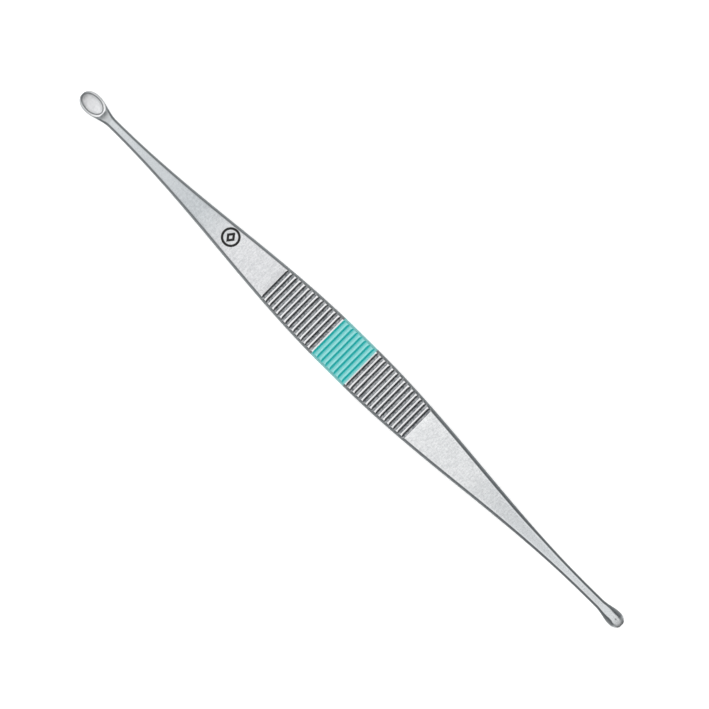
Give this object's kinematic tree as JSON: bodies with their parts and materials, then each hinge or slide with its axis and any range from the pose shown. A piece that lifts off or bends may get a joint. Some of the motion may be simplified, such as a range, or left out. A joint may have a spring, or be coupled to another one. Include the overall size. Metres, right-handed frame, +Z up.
{
  "type": "curette",
  "caption": "Curette with a flat ribbed grip, a coloured band round the grip, slender necks, an oval cup that opens upwards and a smaller round cup that opens downwards.",
  "frame": {"origin": "middle of the length and of the width, on the surface that the curette lies on", "axes": "+X along the bar from the oval cup to the round cup, +Y across the grip, +Z up, out of the face that the oval cup opens to"},
  "size_m": [0.14, 0.0094, 0.0032],
  "materials": {
    "steel": "satin, fine matt grain",
    "band": "satin lacquer"
  },
  "bodies": {
    "root": {"curette": "steel", "colour_band": "band"}
  },
  "joints": []
}
